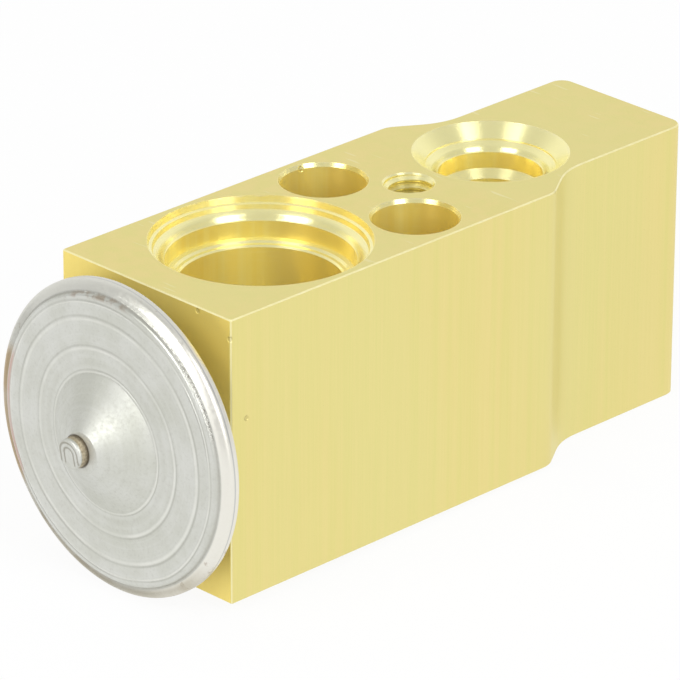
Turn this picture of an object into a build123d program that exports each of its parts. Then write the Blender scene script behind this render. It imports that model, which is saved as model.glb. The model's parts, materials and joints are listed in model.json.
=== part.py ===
"""Block-type thermostatic expansion valve, millimetres.

+Z points to the pipe side, where the pipe flange bolts on. -Z is the evaporator side.
+Y points from the power head to the adjusting screw, and X is the width.
The origin is on the evaporator-side face, midway between the two mounting holes.
Stations are distances along the valve axis, from the head-side end face of the block.
"""

import os
from math import atan, sqrt, tan

from build123d import *

# ---- Fits and clearances -------------------------------------------------------------------
running_fit = 0.05  # radial, between a sliding pin and its bore
thread_fit = 0.05  # radial, between the plain cylinders that stand for a thread
seal_gap = 0.05  # around an O-ring in its groove
contact_gap = 0.1  # between a fixed piece and the moving piece that rests on it
pocket_gap = 0.03  # between the ball and the cones that hold it
press_gap = 0.02  # radial, between pressed pieces of one body
overcut = 1.0  # how far a cutting shape runs past a face

# ---- Spacing along the block -------------------------------------------------------------------
suction_station = 18.2
mounting_past_suction = 17.6
flange_screw_past_mounting = 6.6
orifice_past_mounting = 16.4
tail_past_orifice = 27.2

# ---- Block ---------------------------------------------------------------------------------
block_width = 28.0
block_height = 35.6
waist_width = 20.4
waist_length = 20.8
taper_length = 5.9
shoulder_fillet = 3.0
waist_fillet = 9.0
tail_fillet = 1.8
head_corner_chamfer = 0.2
rim_chamfer = 0.15

# ---- Mounting holes and flange screw hole ----------------------------------------------------
mounting_spacing = 15.2
mounting_hole_r = 5.15
mounting_mouth_width = 0.25
mounting_mouth_depth = 0.5
flange_screw_r = 2.95
flange_screw_depth = 9.5
flange_screw_tip = 1.2
flange_screw_mouth_chamfer = 0.2

# ---- Suction passage, the same port on both faces --------------------------------------------
suction_mouth_r = 13.15
suction_mouth_depth = 0.75
suction_mouth_draft = 0.2
suction_rest_r = 12.6
suction_rest_depth = 0.9
suction_lead_r = 12.45
suction_lead_depth = 1.45
suction_flare_r = 12.1
suction_flare_depth = 1.65
suction_gland_r = 11.15
suction_gland_top = 2.4
suction_gland_bottom = 4.5
suction_floor_r = 10.6
suction_floor_depth = 4.65
suction_ring_r = 10.3
suction_ring_depth = 4.9
suction_band_r = 9.95
suction_band_depth = 4.95
suction_bore_r = 9.7
suction_bore_top = 5.15

# ---- Liquid inlet port, pipe side, whose gland and pocket the outlet shares ------------------
inlet_past_orifice = 4.1
liquid_gland_r = 6.28
liquid_gland_top = 2.76
liquid_gland_bottom = 4.8
liquid_seat_r = 5.2
liquid_seat_depth = 5.75
liquid_pocket_bottom = 7.2
inlet_mouth_r = 9.45
inlet_mouth_chamfer = 0.3
inlet_flare_r = 7.85
inlet_flare_depth = 1.65
inlet_step_width = 0.05
inlet_step_depth = 1.8
inlet_bore_r = 3.85
inlet_bore_end_above_axis = 4.0

# ---- Liquid outlet port, evaporator side -----------------------------------------------------
outlet_before_orifice = 4.6
outlet_mouth_r = 8.1
outlet_mouth_depth = 0.6
outlet_mouth_draft = 0.2
outlet_flare_r = 7.5
outlet_flare_depth = 1.5
outlet_bore_r = 3.6
outlet_bore_end_above_axis = 1.6
drill_tip_slope = 0.6  # depth of a drill's point, as a share of its radius

# ---- Valve axis bores ------------------------------------------------------------------------
axis_z = block_height / 2
neck_r = 9.0
neck_length = 7.0
neck_bore_r = 6.0
neck_bore_depth = 7.6
neck_mouth_chamfer = 0.3
sensing_rod_r = 3.2
rod_bore_before_mounting = 4.8
rod_seal_pocket_r = 2.6
rod_seal_pocket_length = 1.5
push_rod_r = 1.2
orifice_r = 1.6
seat_depth = 0.8
chamber_r = 6.2
screw_thread_length = 7.8
screw_thread_r = 7.0
screw_mouth_chamfer = 0.5

# ---- Power head ------------------------------------------------------------------------------
rim_r = 19.15
cover_thickness = 0.9
diaphragm_thickness = 0.2
rim_front_station = -5.3
rim_front_fillet = 0.85
rim_back_fillet = 0.6
weld_land_width = 1.4
step_width = 0.25
step_rise = 0.5
crown_inset = 2.4
crown_rise = 0.62
middle_crease_r = 14.75
middle_crease_rise = 0.78
inner_crease_r = 11.3
inner_crease_rise = 1.0
cone_base_r = 8.55
cone_base_rise = 1.12
cone_top_r = 2.55
cone_top_rise = 4.8
crease_fillet = 0.5
charge_offset = 0.7
charge_hole_r = 1.1
plug_r = 1.85
plug_height = 1.35
plug_edge_fillet = 0.3
plug_shank_r = 1.05

# ---- Lower cover -----------------------------------------------------------------------------
lower_cover_thickness = 0.85
lower_flange_width = 3.95
dish_floor_r = 12.2
dish_floor_station = -1.75
hub_r = 11.0
hub_start = -0.9

# ---- Neck O-ring -----------------------------------------------------------------------------
neck_seal_section_r = 0.75

# ---- Stopper plate and rods ------------------------------------------------------------------
stroke = 0.8
stopper_r = 10.5
stopper_thickness = 1.4
stopper_boss_r = 4.6
stopper_boss_end = 1.0
stopper_pocket_depth = 2.1
stopper_edge_chamfer = 0.3
rod_rest_gap = 0.2
rod_tip_chamfer = 0.4
push_rod_pocket_depth = 1.6

# ---- Rod seal --------------------------------------------------------------------------------
rod_seal_section_r = 0.65
retainer_thickness = 0.3
retainer_hole_r = 1.45
retainer_tooth_count = 6
retainer_slot_width = 0.5
retainer_slot_r = 2.3

# ---- Ball, carrier, clip and spring ----------------------------------------------------------
ball_r = 2.38
carrier_behind_ball = 1.0
carrier_cup_r = 3.3
carrier_cup_length = 2.0
carrier_flange_r = 4.9
carrier_flange_thickness = 1.2
carrier_spigot_r = 2.6
carrier_spigot_length = 2.8
clip_thickness = 0.3
clip_outer_r = 6.05
clip_leg_count = 3
clip_leg_angle = 44.0
clip_leg_length = 5.0
spring_mean_r = 4.0
spring_wire_r = 0.6
spring_turns = 5.0
spring_end_share = 0.4  # of the wire's radius, left at each ground end

# ---- Adjusting screw -------------------------------------------------------------------------
screw_recess = 1.6
screw_length = 10.3
screw_shank_length = 5.3
screw_shank_clearance = 0.1
screw_nose_r = 2.6
screw_nose_length = 2.6
screw_chamfer = 0.5
hex_across_flats = 8.0
hex_depth = 5.0
screw_seal_behind_front = 1.9
screw_seal_section_r = 0.6
screw_groove_floor_r = 4.95

# ---- Worked-out places -----------------------------------------------------------------------
mounting_station = suction_station + mounting_past_suction
flange_screw_station = mounting_station + flange_screw_past_mounting
orifice_end = mounting_station + orifice_past_mounting
block_length = orifice_end + tail_past_orifice
head_end_y = -mounting_station
waist_station = block_length - waist_length
shoulder_station = waist_station - taper_length
outlet_station = orifice_end - outlet_before_orifice
inlet_station = orifice_end + inlet_past_orifice
chamber_start = orifice_end + seat_depth
thread_start = block_length - screw_thread_length
diaphragm_front = rim_front_station + cover_thickness
diaphragm_back = diaphragm_front + diaphragm_thickness
stopper_front = diaphragm_back + contact_gap
stopper_back = stopper_front + stopper_thickness
rod_bore_end = mounting_station - rod_bore_before_mounting
rod_seal_pocket_end = rod_bore_end + rod_seal_pocket_length
retainer_front = rod_bore_end - retainer_thickness
rod_tip = retainer_front - stroke - rod_rest_gap
ball_station = orifice_end - orifice_r + sqrt(2) * (ball_r + pocket_gap)
carrier_front = ball_station + carrier_behind_ball
carrier_pocket_r = sqrt(2) * (ball_r + pocket_gap) - carrier_behind_ball
carrier_flange_start = carrier_front + carrier_cup_length
carrier_back = carrier_flange_start + carrier_flange_thickness
screw_back = block_length - screw_recess
screw_front = screw_back - screw_length
screw_shank_end = screw_front + screw_shank_length
screw_seal_station = screw_front + screw_seal_behind_front
weld_land_r = rim_r - weld_land_width
step_r = weld_land_r - step_width
crown_r = rim_r - crown_inset
dish_flat_r = rim_r - lower_flange_width
neck_outer_r = neck_r - thread_fit
neck_recess_r = neck_outer_r + 2 * (neck_seal_section_r + seal_gap)


def station_y(station):
    """Y of a station on the valve axis."""
    return head_end_y + station


valve_axis = Axis((0, head_end_y, axis_z), (0, 1, 0))
# Local x is the station and local y is the radius.
valve_plane = Plane(origin=(0, head_end_y, axis_z), x_dir=(0, 1, 0), z_dir=(1, 0, 0))


def upright_axis(station, x=0):
    """Axis of a hole that is drilled square to the faces, at a station."""
    return Axis((x, station_y(station), 0), (0, 0, 1))


def upright_plane(station, x=0):
    """Plane through an upright axis, where local x is the radius and local y is Z."""
    return Plane(origin=(x, station_y(station), 0), x_dir=(1, 0, 0), z_dir=(0, -1, 0))


def cross_plane(station):
    """Plane square to the valve axis at a station, facing the tail."""
    return Plane(origin=(0, station_y(station), axis_z), x_dir=(1, 0, 0), z_dir=(0, 1, 0))


def section(plane, points):
    """Closed face through the points."""
    with BuildSketch(plane, mode=Mode.PRIVATE) as face:
        with BuildLine():
            Polyline(*points, close=True)
        make_face()
    return face.sketch


def axis_section(points):
    """Half section about the valve axis through (station, radius) points."""
    return section(valve_plane, points)


def ring_section(station, ring_r, section_r):
    """Round section of an O-ring on the valve axis."""
    with BuildSketch(valve_plane, mode=Mode.PRIVATE) as face:
        with Locations((station, ring_r)):
            Circle(section_r)
    return face.sketch


def port_section(station, face_z, inward, steps, x=0):
    """Half section of a stepped port. Steps are (radius, depth below the face), mouth first."""
    walls = [(radius, face_z + inward * depth) for radius, depth in steps]
    return section(upright_plane(station, x), [(0, face_z), *walls])


def suction_steps(bottom):
    """Steps of a suction port, whose bore runs on to a depth."""
    return [
        (suction_mouth_r, 0),
        (suction_mouth_r - suction_mouth_draft, suction_mouth_depth),
        (suction_rest_r, suction_rest_depth),
        (suction_lead_r, suction_lead_depth),
        (suction_flare_r, suction_flare_depth),
        (suction_gland_r, suction_gland_top),
        (suction_gland_r, suction_gland_bottom),
        (suction_floor_r, suction_floor_depth),
        (suction_ring_r, suction_ring_depth),
        (suction_band_r, suction_band_depth),
        (suction_bore_r, suction_bore_top),
        (suction_bore_r, bottom),
        (0, bottom),
    ]


def inlet_steps(bottom):
    """Steps of the liquid inlet port, whose bore runs on to a depth."""
    return [
        (inlet_mouth_r, 0),
        (inlet_mouth_r - inlet_mouth_chamfer, inlet_mouth_chamfer),
        (inlet_flare_r, inlet_flare_depth),
        (inlet_flare_r - inlet_step_width, inlet_step_depth),
        (liquid_gland_r, liquid_gland_top),
        (liquid_gland_r, liquid_gland_bottom),
        (liquid_seat_r, liquid_seat_depth),
        (liquid_seat_r, liquid_pocket_bottom),
        (inlet_bore_r, liquid_pocket_bottom),
        (inlet_bore_r, bottom),
        (0, bottom),
    ]


def outlet_steps(bottom):
    """Steps of the liquid outlet port, whose bore ends in a drill point."""
    return [
        (outlet_mouth_r, 0),
        (outlet_mouth_r - outlet_mouth_draft, outlet_mouth_depth),
        (outlet_flare_r, outlet_flare_depth),
        (liquid_gland_r, liquid_gland_top),
        (liquid_gland_r, liquid_gland_bottom),
        (liquid_seat_r, liquid_seat_depth),
        (liquid_seat_r, liquid_pocket_bottom),
        (outlet_bore_r, liquid_pocket_bottom),
        (outlet_bore_r, bottom),
        (0, bottom + outlet_bore_r * drill_tip_slope),
    ]


def corners_at(sketch, station):
    """Corners of the block's outline at a station."""
    reach = 0.01
    y = station_y(station)
    return sketch.vertices().filter_by_position(Axis.Y, y - reach, y + reach)


def finish(part, label):
    """Label a piece and write it as one file."""
    part.label = label
    export_step(part, f"parts/{label}.step")


os.makedirs("parts", exist_ok=True)

# ---- Valve body: one extruded and machined aluminium block -----------------------------------
half_width = block_width / 2
half_waist = waist_width / 2
with BuildPart() as valve_body:
    with BuildSketch() as outline:
        with BuildLine():
            Polyline(
                (-half_width, station_y(0)),
                (half_width, station_y(0)),
                (half_width, station_y(shoulder_station)),
                (half_waist, station_y(waist_station)),
                (half_waist, station_y(block_length)),
                (-half_waist, station_y(block_length)),
                (-half_waist, station_y(waist_station)),
                (-half_width, station_y(shoulder_station)),
                close=True,
            )
        make_face()
        fillet(corners_at(outline, block_length), tail_fillet)
        fillet(corners_at(outline, waist_station), waist_fillet)
        fillet(corners_at(outline, shoulder_station), shoulder_fillet)
        chamfer(corners_at(outline, 0), head_corner_chamfer)
    extrude(amount=block_height)
    flat_faces = valve_body.faces().filter_by(Axis.Z)
    chamfer(flat_faces.edges(), rim_chamfer)

    # Mounting holes, right through, with chamfered mouths
    mounting_mouth_r = mounting_hole_r + mounting_mouth_width
    mounting_steps = [
        (mounting_mouth_r, 0),
        (mounting_hole_r, mounting_mouth_depth),
        (mounting_hole_r, block_height - mounting_mouth_depth),
        (mounting_mouth_r, block_height),
        (0, block_height),
    ]
    for hole_x in (-mounting_spacing / 2, mounting_spacing / 2):
        revolve(
            port_section(mounting_station, block_height, -1, mounting_steps, hole_x),
            axis=upright_axis(mounting_station, hole_x),
            mode=Mode.SUBTRACT,
        )

    # Suction passage, right through
    for face_z, inward in ((block_height, -1), (0, 1)):
        revolve(
            port_section(suction_station, face_z, inward, suction_steps(axis_z)),
            axis=upright_axis(suction_station),
            mode=Mode.SUBTRACT,
        )

    # Liquid ports
    inlet_depth = block_height - axis_z - inlet_bore_end_above_axis
    revolve(
        port_section(inlet_station, block_height, -1, inlet_steps(inlet_depth)),
        axis=upright_axis(inlet_station),
        mode=Mode.SUBTRACT,
    )
    revolve(
        port_section(outlet_station, 0, 1, outlet_steps(axis_z + outlet_bore_end_above_axis)),
        axis=upright_axis(outlet_station),
        mode=Mode.SUBTRACT,
    )

    # Threaded neck bore with the O-ring's recess at its mouth
    recess_depth = 2 * (neck_seal_section_r + seal_gap)
    revolve(
        axis_section(
            [
                (-overcut, 0),
                (-overcut, neck_recess_r),
                (recess_depth, neck_recess_r),
                (recess_depth, neck_r + neck_mouth_chamfer),
                (recess_depth + neck_mouth_chamfer, neck_r),
                (neck_bore_depth, neck_r),
                (neck_bore_depth, neck_bore_r),
                (suction_station, neck_bore_r),
                (suction_station, 0),
            ]
        ),
        axis=valve_axis,
        mode=Mode.SUBTRACT,
    )

    # Rod bore, rod seal pocket and push rod bore through the web between the mounting holes
    revolve(
        axis_section(
            [
                (suction_station, 0),
                (suction_station, sensing_rod_r + running_fit),
                (rod_bore_end, sensing_rod_r + running_fit),
                (rod_bore_end, rod_seal_pocket_r),
                (rod_seal_pocket_end, rod_seal_pocket_r),
                (rod_seal_pocket_end, push_rod_r + running_fit),
                (outlet_station, push_rod_r + running_fit),
                (outlet_station, 0),
            ]
        ),
        axis=valve_axis,
        mode=Mode.SUBTRACT,
    )

    # Orifice, ball seat, valve chamber and the adjusting screw's thread
    revolve(
        axis_section(
            [
                (outlet_station, 0),
                (outlet_station, orifice_r),
                (orifice_end, orifice_r),
                (chamber_start, orifice_r + seat_depth),
                (chamber_start, chamber_r),
                (thread_start, chamber_r),
                (thread_start + screw_thread_r - chamber_r, screw_thread_r),
                (block_length - screw_mouth_chamfer, screw_thread_r),
                (block_length, screw_thread_r + screw_mouth_chamfer),
                (block_length + overcut, screw_thread_r + screw_mouth_chamfer),
                (block_length + overcut, 0),
            ]
        ),
        axis=valve_axis,
        mode=Mode.SUBTRACT,
    )

    # Flange screw hole
    screw_mouth_r = flange_screw_r + flange_screw_mouth_chamfer
    revolve(
        port_section(
            flange_screw_station,
            block_height,
            -1,
            [
                (screw_mouth_r, 0),
                (flange_screw_r, flange_screw_mouth_chamfer),
                (flange_screw_r, flange_screw_depth),
                (0, flange_screw_depth + flange_screw_tip),
            ],
        ),
        axis=upright_axis(flange_screw_station),
        mode=Mode.SUBTRACT,
    )
finish(valve_body.part, "valve_body")

# ---- Lower cover: flange, dish and threaded neck in one piece ---------------------------------
lower_flange_back = diaphragm_back + lower_cover_thickness
with BuildPart() as lower_cover:
    revolve(
        axis_section(
            [
                (diaphragm_back, rim_r),
                (diaphragm_back, dish_flat_r),
                (dish_floor_station, dish_floor_r),
                (dish_floor_station, neck_bore_r),
                (neck_length, neck_bore_r),
                (neck_length, neck_outer_r - neck_mouth_chamfer),
                (neck_length - neck_mouth_chamfer, neck_outer_r),
                (0, neck_outer_r),
                (0, hub_r),
                (hub_start, hub_r),
                (hub_start, dish_floor_r + lower_cover_thickness),
                (lower_flange_back, dish_flat_r + lower_cover_thickness),
                (lower_flange_back, rim_r),
            ]
        ),
        axis=valve_axis,
    )
    rim_edges = lower_cover.edges().filter_by(GeomType.CIRCLE).sort_by(SortBy.RADIUS)[-2:]
    fillet(rim_edges.sort_by(Axis.Y)[-1], rim_back_fillet)
finish(lower_cover.part, "lower_cover")

# ---- Diaphragm --------------------------------------------------------------------------------
with BuildPart() as diaphragm:
    with BuildSketch(cross_plane(diaphragm_front)):
        Circle(rim_r)
    extrude(amount=diaphragm_thickness)
finish(diaphragm.part, "diaphragm")

# ---- Upper cover: pressed sheet with two creases, a cone and the charge hole -------------------
crown_steps = [
    (weld_land_r, 0),
    (step_r, step_rise),
    (crown_r, crown_rise),
    (middle_crease_r, middle_crease_rise),
    (inner_crease_r, inner_crease_rise),
    (cone_base_r, cone_base_rise),
    (cone_top_r, cone_top_rise),
    (0, cone_top_rise),
]
sheet_front = [(rim_front_station - rise, radius) for radius, rise in crown_steps]
cone_top_station = rim_front_station - cone_top_rise
# The cone's wall keeps the sheet's thickness, measured square to its slope.
cone_slope = (cone_top_rise - cone_base_rise) / (cone_base_r - cone_top_r)
cone_inset = cover_thickness * tan(atan(cone_slope) / 2)
sheet_back = [
    (cone_top_station + cover_thickness, 0),
    (cone_top_station + cover_thickness, cone_top_r - cone_inset),
    (rim_front_station + cover_thickness - cone_base_rise, cone_base_r - cone_inset),
    (rim_front_station + cover_thickness - crown_rise, crown_r - cover_thickness),
    (diaphragm_front, crown_r - cover_thickness + step_rise),
    (diaphragm_front, rim_r),
]
# The charge hole sits a little off the valve axis, toward -X.
charge_place = (-charge_offset, 0)
with BuildPart() as upper_cover:
    revolve(
        axis_section([(rim_front_station, rim_r), *sheet_front, *sheet_back]),
        axis=valve_axis,
    )
    front_edges = upper_cover.edges().filter_by(GeomType.CIRCLE)
    for crease_r in (cone_base_r, step_r, weld_land_r):
        creases = [edge for edge in front_edges if abs(edge.radius - crease_r) < press_gap]
        fillet(creases, crease_fillet if crease_r == cone_base_r else crease_fillet / 2)
        front_edges = upper_cover.edges().filter_by(GeomType.CIRCLE)
    outer_edges = front_edges.sort_by(SortBy.RADIUS)[-2:]
    fillet(outer_edges.sort_by(Axis.Y)[0], rim_front_fillet)
    with BuildSketch(cross_plane(cone_top_station)):
        with Locations(charge_place):
            Circle(charge_hole_r)
    extrude(amount=cover_thickness, mode=Mode.SUBTRACT)
finish(upper_cover.part, "upper_cover")

# ---- Charge plug: closes the charge hole at the cone's tip -------------------------------------
plug_front = cone_top_station - plug_height
with BuildPart() as charge_plug:
    with BuildSketch(cross_plane(plug_front)):
        with Locations(charge_place):
            Circle(plug_r)
    extrude(amount=plug_height)
    fillet(charge_plug.faces().sort_by(Axis.Y)[0].edges(), plug_edge_fillet)
    with BuildSketch(cross_plane(cone_top_station)):
        with Locations(charge_place):
            Circle(plug_shank_r)
    extrude(amount=cover_thickness)
finish(charge_plug.part, "charge_plug")

# ---- Neck O-ring --------------------------------------------------------------------------------
with BuildPart() as neck_o_ring:
    revolve(
        ring_section(
            neck_seal_section_r + seal_gap,
            (neck_outer_r + neck_recess_r) / 2,
            neck_seal_section_r,
        ),
        axis=valve_axis,
    )
finish(neck_o_ring.part, "neck_o_ring")

# ---- Stopper plate: rests on the diaphragm and carries the sensing rod --------------------------
with BuildPart() as stopper_plate:
    revolve(
        axis_section(
            [
                (stopper_front, 0),
                (stopper_front, stopper_r - stopper_edge_chamfer),
                (stopper_front + stopper_edge_chamfer, stopper_r),
                (stopper_back, stopper_r),
                (stopper_back, stopper_boss_r),
                (stopper_boss_end, stopper_boss_r),
                (stopper_boss_end, sensing_rod_r + press_gap),
                (stopper_front + stopper_pocket_depth, sensing_rod_r + press_gap),
                (stopper_front + stopper_pocket_depth, 0),
            ]
        ),
        axis=valve_axis,
    )
finish(stopper_plate.part, "stopper_plate")

# ---- Sensing rod: crosses the suction passage and pushes the push rod ---------------------------
with BuildPart() as sensing_rod:
    revolve(
        axis_section(
            [
                (stopper_front + stopper_pocket_depth, 0),
                (stopper_front + stopper_pocket_depth, sensing_rod_r),
                (rod_tip - rod_tip_chamfer, sensing_rod_r),
                (rod_tip, sensing_rod_r - rod_tip_chamfer),
                (rod_tip, push_rod_r + press_gap),
                (rod_tip - push_rod_pocket_depth, push_rod_r + press_gap),
                (rod_tip - push_rod_pocket_depth, 0),
            ]
        ),
        axis=valve_axis,
    )
finish(sensing_rod.part, "sensing_rod")

# ---- Rod O-ring and the push-in retainer that holds it -------------------------------------------
with BuildPart() as rod_o_ring:
    revolve(
        ring_section(
            rod_bore_end + rod_seal_section_r + seal_gap,
            (push_rod_r + rod_seal_pocket_r) / 2,
            rod_seal_section_r,
        ),
        axis=valve_axis,
    )
finish(rod_o_ring.part, "rod_o_ring")

with BuildPart() as o_ring_retainer:
    with BuildSketch(cross_plane(retainer_front)):
        Circle(sensing_rod_r + running_fit - press_gap)
        Circle(retainer_hole_r, mode=Mode.SUBTRACT)
        with PolarLocations(0, retainer_tooth_count):
            with Locations((retainer_slot_r / 2, 0)):
                Rectangle(retainer_slot_r, retainer_slot_width, mode=Mode.SUBTRACT)
    extrude(amount=retainer_thickness)
finish(o_ring_retainer.part, "o_ring_retainer")

# ---- Push rod: runs through the orifice to the ball ----------------------------------------------
push_rod_end = ball_station - ball_r - pocket_gap
with BuildPart() as push_rod:
    with BuildSketch(cross_plane(rod_tip - push_rod_pocket_depth)):
        Circle(push_rod_r)
    extrude(amount=push_rod_end - rod_tip + push_rod_pocket_depth)
finish(push_rod.part, "push_rod")

# ---- Valve ball -----------------------------------------------------------------------------------
with BuildPart() as valve_ball:
    with Locations((0, station_y(ball_station), axis_z)):
        Sphere(ball_r)
finish(valve_ball.part, "valve_ball")

# ---- Ball carrier: cone pocket for the ball, flange and spigot for the spring ---------------------
with BuildPart() as ball_carrier:
    revolve(
        axis_section(
            [
                (carrier_front + carrier_pocket_r, 0),
                (carrier_front, carrier_pocket_r),
                (carrier_front, carrier_cup_r),
                (carrier_flange_start, carrier_cup_r),
                (carrier_flange_start, carrier_flange_r),
                (carrier_back, carrier_flange_r),
                (carrier_back, carrier_spigot_r),
                (carrier_back + carrier_spigot_length, carrier_spigot_r),
                (carrier_back + carrier_spigot_length, 0),
            ]
        ),
        axis=valve_axis,
    )
finish(ball_carrier.part, "ball_carrier")

# ---- Damper clip: ring on the carrier with legs that drag along the chamber's wall ----------------
with BuildPart() as damper_clip:
    with BuildSketch(cross_plane(carrier_flange_start - clip_thickness)):
        Circle(clip_outer_r)
        Circle(carrier_cup_r + press_gap, mode=Mode.SUBTRACT)
    extrude(amount=clip_thickness)
    with BuildSketch(cross_plane(carrier_flange_start)):
        for leg in range(clip_leg_count):
            with BuildLine():
                middle_angle = 360 / clip_leg_count * leg - 90
                start_angle = middle_angle - clip_leg_angle / 2
                leg_arc = CenterArc((0, 0), clip_outer_r, start_angle, clip_leg_angle)
                inner_arc = CenterArc(
                    (0, 0), clip_outer_r - clip_thickness, start_angle, clip_leg_angle
                )
                Line(leg_arc @ 0, inner_arc @ 0)
                Line(leg_arc @ 1, inner_arc @ 1)
            make_face()
    extrude(amount=clip_leg_length)
finish(damper_clip.part, "damper_clip")

# ---- Bias spring: pushes the carrier and ball to their seat ---------------------------------------
spring_length = screw_front - carrier_back
spring_end = spring_end_share * spring_wire_r
helix_length = spring_length - 2 * spring_end
with BuildPart() as bias_spring:
    with BuildLine():
        wire = Helix(
            pitch=helix_length / spring_turns,
            height=helix_length,
            radius=spring_mean_r,
            center=(0, station_y(carrier_back + spring_end), axis_z),
            direction=(0, 1, 0),
        )
    with BuildSketch(wire ^ 0):
        Circle(spring_wire_r)
    sweep(is_frenet=True)
    # The ground ends
    with BuildSketch(cross_plane(carrier_back)):
        Circle(spring_mean_r + 2 * spring_wire_r)
    extrude(amount=spring_length, mode=Mode.INTERSECT)
finish(bias_spring.part, "bias_spring")

# ---- Adjusting screw: thread, O-ring groove, spring seat and hexagon socket -----------------------
shank_r = chamber_r - screw_shank_clearance
thread_outer_r = screw_thread_r - thread_fit
groove_half = screw_seal_section_r + seal_gap
with BuildPart() as adjusting_screw:
    revolve(
        axis_section(
            [
                (screw_front - screw_nose_length, 0),
                (screw_front - screw_nose_length, screw_nose_r),
                (screw_front, screw_nose_r),
                (screw_front, shank_r),
                (screw_seal_station - groove_half, shank_r),
                (screw_seal_station - groove_half, screw_groove_floor_r),
                (screw_seal_station + groove_half, screw_groove_floor_r),
                (screw_seal_station + groove_half, shank_r),
                (screw_shank_end, shank_r),
                (screw_shank_end + screw_chamfer, thread_outer_r),
                (screw_back - screw_chamfer, thread_outer_r),
                (screw_back, thread_outer_r - screw_chamfer),
                (screw_back, 0),
            ]
        ),
        axis=valve_axis,
    )
    with BuildSketch(cross_plane(screw_back - hex_depth)):
        RegularPolygon(hex_across_flats / 2, 6, major_radius=False)
    extrude(amount=hex_depth + overcut, mode=Mode.SUBTRACT)
finish(adjusting_screw.part, "adjusting_screw")

with BuildPart() as adjuster_o_ring:
    revolve(
        ring_section(
            screw_seal_station,
            (screw_groove_floor_r + chamber_r) / 2,
            screw_seal_section_r,
        ),
        axis=valve_axis,
    )
finish(adjuster_o_ring.part, "adjuster_o_ring")
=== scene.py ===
"""Looks of the block-type thermostatic expansion valve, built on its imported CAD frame. Metres."""

import json
import math

import bpy
from mathutils import Matrix, Vector


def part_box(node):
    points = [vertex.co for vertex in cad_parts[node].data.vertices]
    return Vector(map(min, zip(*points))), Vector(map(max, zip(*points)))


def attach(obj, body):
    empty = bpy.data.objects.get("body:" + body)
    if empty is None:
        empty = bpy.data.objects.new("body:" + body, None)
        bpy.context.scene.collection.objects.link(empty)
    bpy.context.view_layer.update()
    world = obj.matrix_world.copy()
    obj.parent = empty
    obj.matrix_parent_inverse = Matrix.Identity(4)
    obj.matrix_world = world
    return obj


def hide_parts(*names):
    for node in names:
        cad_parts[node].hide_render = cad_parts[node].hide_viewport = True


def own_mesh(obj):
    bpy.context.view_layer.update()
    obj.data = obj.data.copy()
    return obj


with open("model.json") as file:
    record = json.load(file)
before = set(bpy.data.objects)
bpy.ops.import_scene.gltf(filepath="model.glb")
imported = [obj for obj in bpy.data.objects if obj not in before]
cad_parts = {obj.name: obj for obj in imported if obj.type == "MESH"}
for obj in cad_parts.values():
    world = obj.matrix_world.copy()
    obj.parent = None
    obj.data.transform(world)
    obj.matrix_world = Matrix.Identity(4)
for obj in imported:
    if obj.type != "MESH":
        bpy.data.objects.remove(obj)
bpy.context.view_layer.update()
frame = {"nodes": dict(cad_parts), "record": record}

MM = 0.001

# ---- Places on the object, from the frame -----------------------------------------------------
block_low, block_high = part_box("valve_body")
head_low, head_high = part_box("upper_cover")
plug_low, plug_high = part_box("charge_plug")
spring_low, spring_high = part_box("bias_spring")
axis_z = (block_low[2] + block_high[2]) / 2
head_end_y = block_low[1]
tail_end_y = block_high[1]
top_z = block_high[2]
half_width = block_high[0]
rim_r = head_high[0]
mounts = {mount["name"]: mount for mount in frame["record"]["mounts"]}
suction_y = mounts["suction_outlet"]["pos_m"][1]
inlet_y = mounts["liquid_inlet"]["pos_m"][1]
outlet_y = mounts["liquid_outlet"]["pos_m"][1]
flange_screw_y = mounts["flange_screw_hole"]["pos_m"][1]
flange_screw_r = mounts["flange_screw_hole"]["dims"]["r_mm"] * MM
hole_x = mounts["mounting_holes"]["dims"]["spacing_x_mm"] / 2 * MM

# ---- Sizes of what is drawn on the CAD shapes -------------------------------------------------
suction_mouth_r = 13.15 * MM
suction_gland_r = 11.15 * MM
inlet_gland_r = 6.28 * MM
seat_rounding = 0.8 * MM
inlet_mouth_r = 9.45 * MM
outlet_mouth_r = 8.1 * MM
mounting_mouth_r = 5.4 * MM
flange_screw_mouth_r = 3.15 * MM
screw_bore_mouth_r = 7.5 * MM
port_depth = 12 * MM
# Radius and width of each crease of the head's cover
creases_drawn = (
    (16.7 * MM, 0.22 * MM),
    (14.7 * MM, 0.38 * MM),
    (11.25 * MM, 0.34 * MM),
    (8.6 * MM, 0.22 * MM),
)
# Small dents and nicks of the block, as places and sizes
dents_drawn = (
    ((half_width, 17.4 * MM, top_z), 0.55 * MM),
    ((-12.6 * MM, 1.2 * MM, top_z - 0.5 * MM), 0.45 * MM),
    ((half_width - 0.2 * MM, head_end_y, top_z - 2.4 * MM), 0.45 * MM),
    ((half_width - 5.4 * MM, head_end_y, top_z - 0.5 * MM), 0.4 * MM),
    ((half_width, -33.4 * MM, 22.8 * MM), 0.4 * MM),
)
# Radii at the head's rim: the step along the weld, the rounded land outside it, its tints, and a line
# of painted shade at the step
weld_r = 17.62 * MM
land_start_r = 17.85 * MM
rosy_line_r = 17.15 * MM
dark_line_r = 17.58 * MM
golden_start_r = 17.6 * MM
# The cone of the cover: the middle of its hollow flank, and its foot
cone_hollow_r = 5.5 * MM
cone_foot_r = 8.2 * MM
plug_x = (plug_low[0] + plug_high[0]) / 2
plug_r = (plug_high[0] - plug_low[0]) / 2

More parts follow.
